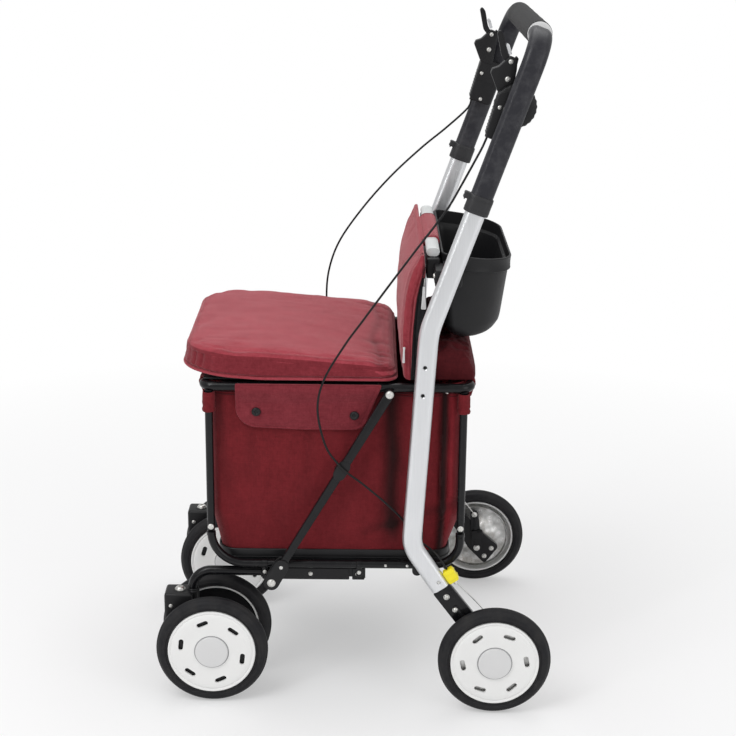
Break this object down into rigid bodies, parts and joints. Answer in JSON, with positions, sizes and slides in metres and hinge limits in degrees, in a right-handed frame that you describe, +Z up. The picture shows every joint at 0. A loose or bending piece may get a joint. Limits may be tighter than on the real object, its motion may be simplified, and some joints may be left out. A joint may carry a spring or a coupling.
{
  "type": "shopping rollator",
  "caption": "Folding shopping rollator with a padded seat, a fabric bag, a rear basket, twin front casters, cable brakes and a height-adjustable handle.",
  "frame": {"origin": "on the floor, under the middle of the overall box", "axes": "+Z up, +X to the rear where the walker stands, +Y to the right of a walker facing forward"},
  "size_m": [0.551, 0.467, 0.9435],
  "materials": {
    "red_fabric": "woven melange",
    "satin_aluminium": "satin",
    "black_paint": "semi-gloss powder coat",
    "black_plastic": "matt",
    "white_plastic": "satin",
    "tyre_rubber": "matt",
    "grip_foam": "matt foam",
    "yellow_plastic": "satin",
    "zinc": "satin",
    "cable_black": "satin"
  },
  "bodies": {
    "rear_frame": {"cross_bar": "satin_aluminium", "backrest_pad": "red_fabric", "side_tube_left": "satin_aluminium", "side_tube_right": "satin_aluminium", "cross_bar_clamp_left": "black_plastic", "cross_bar_clamp_right": "black_plastic", "rear_arm_left": "black_paint", "rear_arm_right": "black_paint", "cable_adjuster_left": "yellow_plastic", "cable_adjuster_right": "yellow_plastic", "brake_cable_left": "cable_black", "brake_cable_right": "cable_black"},
    "handle": {"handle_tube": "black_paint", "handle_grip": "grip_foam", "collar_left": "black_plastic", "collar_right": "black_plastic", "lever_housing_left": "black_plastic", "lever_housing_right": "black_plastic"},
    "basket": {"basket": "black_plastic"},
    "seat_ring": {"seat_ring": "black_paint", "bag": "red_fabric", "bag_flap": "red_fabric", "bag_hood": "red_fabric"},
    "seat_lid": {"seat_board": "black_plastic", "seat_cushion": "red_fabric"},
    "front_posts": {"front_post_left": "black_paint", "front_post_right": "black_paint"},
    "rear_posts": {"rear_post_left": "black_paint", "rear_post_right": "black_paint"},
    "struts": {"strut_left": "black_paint", "strut_right": "black_paint"},
    "base": {"tray": "black_plastic", "base_rail_left": "black_paint", "base_rail_right": "black_paint", "side_rail_left": "black_paint", "side_rail_right": "black_paint", "front_tube_left": "black_paint", "front_tube_right": "black_paint", "caster_head_left": "black_plastic", "caster_head_right": "black_plastic"},
    "height_button_left": {"height_button_left": "black_plastic"},
    "brake_lever_left": {"brake_lever_left": "black_plastic"},
    "brake_arm_left": {"brake_arm_left": "zinc"},
    "caster_left": {"caster_fork_left": "black_plastic"},
    "height_button_right": {"height_button_right": "black_plastic"},
    "brake_lever_right": {"brake_lever_right": "black_plastic"},
    "brake_arm_right": {"brake_arm_right": "zinc"},
    "caster_right": {"caster_fork_right": "black_plastic"},
    "rear_wheel_left": {"rear_wheel_left_tyre": "tyre_rubber", "rear_wheel_left_rim": "white_plastic"},
    "rear_wheel_right": {"rear_wheel_right_tyre": "tyre_rubber", "rear_wheel_right_rim": "white_plastic"},
    "front_wheel_left_outer": {"front_wheel_left_outer_tyre": "tyre_rubber", "front_wheel_left_outer_rim": "white_plastic"},
    "front_wheel_left_inner": {"front_wheel_left_inner_tyre": "tyre_rubber", "front_wheel_left_inner_rim": "white_plastic"},
    "front_wheel_right_outer": {"front_wheel_right_outer_tyre": "tyre_rubber", "front_wheel_right_outer_rim": "white_plastic"},
    "front_wheel_right_inner": {"front_wheel_right_inner_tyre": "tyre_rubber", "front_wheel_right_inner_rim": "white_plastic"}
  },
  "joints": [
    {"name": "frame_fold", "type": "hinge", "parent": "rear_frame", "child": "seat_ring", "pos_m": [0.0885, 0, 0.4575], "axis": [0, -1, 0], "range_deg": [0, 60], "deforming": ["bag", "bag_flap", "bag_hood", "brake_cable_left", "brake_cable_right"]},
    {"name": "base_fold", "type": "hinge", "parent": "rear_frame", "child": "base", "pos_m": [0.0885, 0, 0.2803], "axis": [0, -1, 0], "range_deg": [0, 60]},
    {"name": "front_posts_fold", "type": "hinge", "parent": "seat_ring", "child": "front_posts", "pos_m": [-0.1975, 0, 0.4315], "axis": [0, -1, 0], "range_deg": [-60, 0]},
    {"name": "rear_posts_fold", "type": "hinge", "parent": "seat_ring", "child": "rear_posts", "pos_m": [0.148, 0, 0.4315], "axis": [0, -1, 0], "range_deg": [-60, 0]},
    {"name": "struts_fold", "type": "hinge", "parent": "seat_ring", "child": "struts", "pos_m": [0.0472, 0, 0.4533], "axis": [0, -1, 0], "range_deg": [-21, 0]},
    {"name": "seat_lid", "type": "hinge", "parent": "seat_ring", "child": "seat_lid", "pos_m": [0.0565, 0, 0.486], "axis": [0, 1, 0], "range_deg": [0, 75]},
    {"name": "basket_lift", "type": "slide", "parent": "rear_frame", "child": "basket", "axis": [0, 0, 1], "range_m": [0, 0.09]},
    {"name": "handle_height", "type": "slide", "parent": "rear_frame", "child": "handle", "axis": [0.3322, 0, 0.9432], "range_m": [-0.04, 0.04], "deforming": ["brake_cable_left", "brake_cable_right"]},
    {"name": "height_button_left", "type": "slide", "parent": "handle", "child": "height_button_left", "axis": [0.9432, 0, -0.3322], "range_m": [0, 0.0022], "stiffness_N_per_m": 400},
    {"name": "height_button_right", "type": "slide", "parent": "handle", "child": "height_button_right", "axis": [0.9432, 0, -0.3322], "range_m": [0, 0.0022], "stiffness_N_per_m": 400},
    {"name": "brake_lever_left", "type": "hinge", "parent": "handle", "child": "brake_lever_left", "pos_m": [0.19499, -0.172, 0.89303], "axis": [0, 1, 0], "range_deg": [0, 25], "stiffness_Nm_per_rad": 0.4},
    {"name": "brake_lever_right", "type": "hinge", "parent": "handle", "child": "brake_lever_right", "pos_m": [0.19499, 0.172, 0.89303], "axis": [0, 1, 0], "range_deg": [0, 25], "stiffness_Nm_per_rad": 0.4},
    {"name": "brake_arm_left", "type": "hinge", "parent": "rear_frame", "child": "brake_arm_left", "pos_m": [0.1982, -0.1912, 0.0681], "axis": [0, -1, 0], "range_deg": [0, 7.5]},
    {"name": "brake_arm_right", "type": "hinge", "parent": "rear_frame", "child": "brake_arm_right", "pos_m": [0.1982, 0.1912, 0.0681], "axis": [0, -1, 0], "range_deg": [0, 7.5]},
    {"name": "caster_swivel_left", "type": "hinge", "parent": "base", "child": "caster_left", "pos_m": [-0.245, -0.152, 0.15], "axis": [0, 0, 1], "continuous": true},
    {"name": "caster_swivel_right", "type": "hinge", "parent": "base", "child": "caster_right", "pos_m": [-0.245, 0.152, 0.15], "axis": [0, 0, 1], "continuous": true},
    {"name": "front_wheel_spin_left_outer", "type": "hinge", "parent": "caster_left", "child": "front_wheel_left_outer", "pos_m": [-0.197, -0.1946, 0.0785], "axis": [0, 1, 0], "continuous": true},
    {"name": "front_wheel_spin_left_inner", "type": "hinge", "parent": "caster_left", "child": "front_wheel_left_inner", "pos_m": [-0.197, -0.1094, 0.0785], "axis": [0, 1, 0], "continuous": true},
    {"name": "front_wheel_spin_right_outer", "type": "hinge", "parent": "caster_right", "child": "front_wheel_right_outer", "pos_m": [-0.197, 0.1946, 0.0785], "axis": [0, 1, 0], "continuous": true},
    {"name": "front_wheel_spin_right_inner", "type": "hinge", "parent": "caster_right", "child": "front_wheel_right_inner", "pos_m": [-0.197, 0.1094, 0.0785], "axis": [0, 1, 0], "continuous": true},
    {"name": "rear_wheel_spin_left", "type": "hinge", "parent": "rear_frame", "child": "rear_wheel_left", "pos_m": [0.197, -0.221, 0.0785], "axis": [0, 1, 0], "continuous": true},
    {"name": "rear_wheel_spin_right", "type": "hinge", "parent": "rear_frame", "child": "rear_wheel_right", "pos_m": [0.197, 0.221, 0.0785], "axis": [0, 1, 0], "continuous": true}
  ],
  "couplings": [
    {"joint": "base_fold", "follows": "frame_fold", "ratio": 1},
    {"joint": "front_posts_fold", "follows": "frame_fold", "ratio": -1},
    {"joint": "rear_posts_fold", "follows": "frame_fold", "ratio": -1},
    {"joint": "struts_fold", "follows": "frame_fold", "ratio": -0.35},
    {"joint": "brake_arm_left", "follows": "brake_lever_left", "ratio": 0.3},
    {"joint": "brake_arm_right", "follows": "brake_lever_right", "ratio": 0.3}
  ]
}
